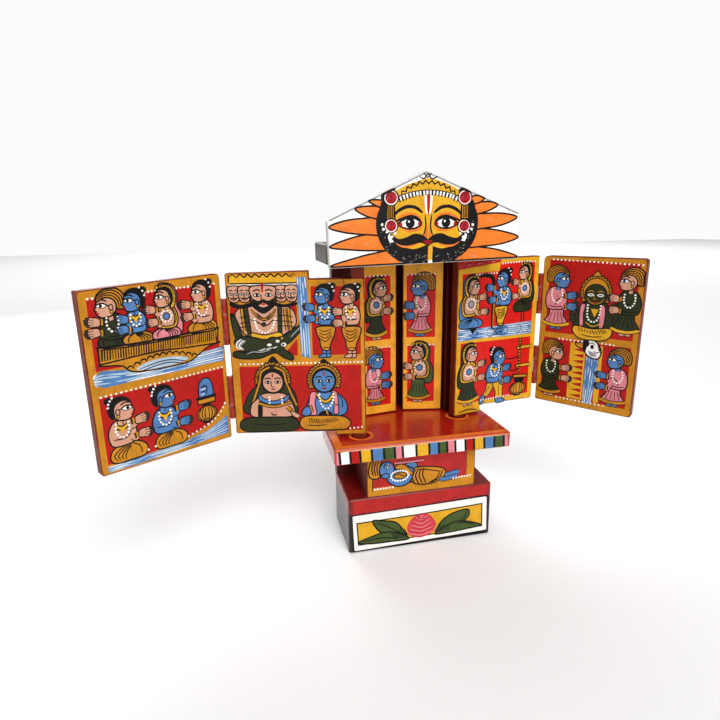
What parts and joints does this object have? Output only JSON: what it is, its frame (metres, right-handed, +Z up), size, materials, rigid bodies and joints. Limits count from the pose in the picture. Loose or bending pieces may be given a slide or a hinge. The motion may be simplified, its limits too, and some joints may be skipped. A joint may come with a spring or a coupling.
{
  "type": "folding shrine box",
  "caption": "Painted wooden storyteller's shrine on a stepped base, with folding doors on both sides and small sanctum doors inside.",
  "frame": {"origin": "centre of the wide front part of the base's underside, on the floor", "axes": "+Z up, +Y towards the back, +X to the right seen from the front"},
  "size_m": [0.4343, 0.1127, 0.3046],
  "materials": {
    "red_paint": "glossy paint on wood",
    "dark_red_paint": "glossy paint on wood",
    "ochre_paint": "glossy paint on wood",
    "yellow_paint": "glossy paint on wood",
    "white_paint": "satin paint on wood",
    "grey_paint": "thin satin paint on wood",
    "hinge_red": "painted over"
  },
  "bodies": {
    "shrine": {"base_block": "red_paint", "neck_block": "ochre_paint", "left_upright": "dark_red_paint", "right_upright": "dark_red_paint", "platform_board": "red_paint", "left_wall": "dark_red_paint", "right_wall": "dark_red_paint", "back_wall": "dark_red_paint", "roof_slab": "grey_paint", "pediment_board": "white_paint"},
    "left_inner": {"left_inner_door": "ochre_paint", "left_lower_inner_leaf": "hinge_red", "left_upper_inner_leaf": "hinge_red", "left_lower_pin": "hinge_red", "left_upper_pin": "hinge_red"},
    "left_outer": {"left_outer_door": "ochre_paint", "left_lower_outer_leaf": "hinge_red", "left_upper_outer_leaf": "hinge_red"},
    "right_inner": {"right_inner_door": "yellow_paint", "right_lower_inner_leaf": "hinge_red", "right_upper_inner_leaf": "hinge_red", "right_lower_pin": "hinge_red", "right_upper_pin": "hinge_red"},
    "right_outer": {"right_outer_door": "ochre_paint", "right_lower_outer_leaf": "hinge_red", "right_upper_outer_leaf": "hinge_red"},
    "left_sanctum": {"left_sanctum_door": "ochre_paint"},
    "right_sanctum": {"right_sanctum_door": "ochre_paint"}
  },
  "joints": [
    {"name": "left_inner_swing", "type": "hinge", "parent": "shrine", "child": "left_inner", "pos_m": [-0.048, -0.0125, 0.165], "axis": [0, 0, 1], "range_deg": [-46, 172]},
    {"name": "left_outer_fold", "type": "hinge", "parent": "left_inner", "child": "left_outer", "pos_m": [-0.15042, 0.00309, 0.165], "axis": [0, 0, 1], "range_deg": [-58, 135]},
    {"name": "right_inner_swing", "type": "hinge", "parent": "shrine", "child": "right_inner", "pos_m": [0.047, 0.011, 0.165], "axis": [0, 0, 1], "range_deg": [-144, 0]},
    {"name": "right_outer_fold", "type": "hinge", "parent": "right_inner", "child": "right_outer", "pos_m": [0.13253, 0.02758, 0.165], "axis": [0, 0, 1], "range_deg": [-113.7, 80]},
    {"name": "left_sanctum_swing", "type": "hinge", "parent": "shrine", "child": "left_sanctum", "pos_m": [-0.037, 0.032, 0.165], "axis": [0, 0, 1], "range_deg": [-99, 25]},
    {"name": "right_sanctum_swing", "type": "hinge", "parent": "shrine", "child": "right_sanctum", "pos_m": [0.037, 0.032, 0.165], "axis": [0, 0, 1], "range_deg": [-23, 101]}
  ]
}
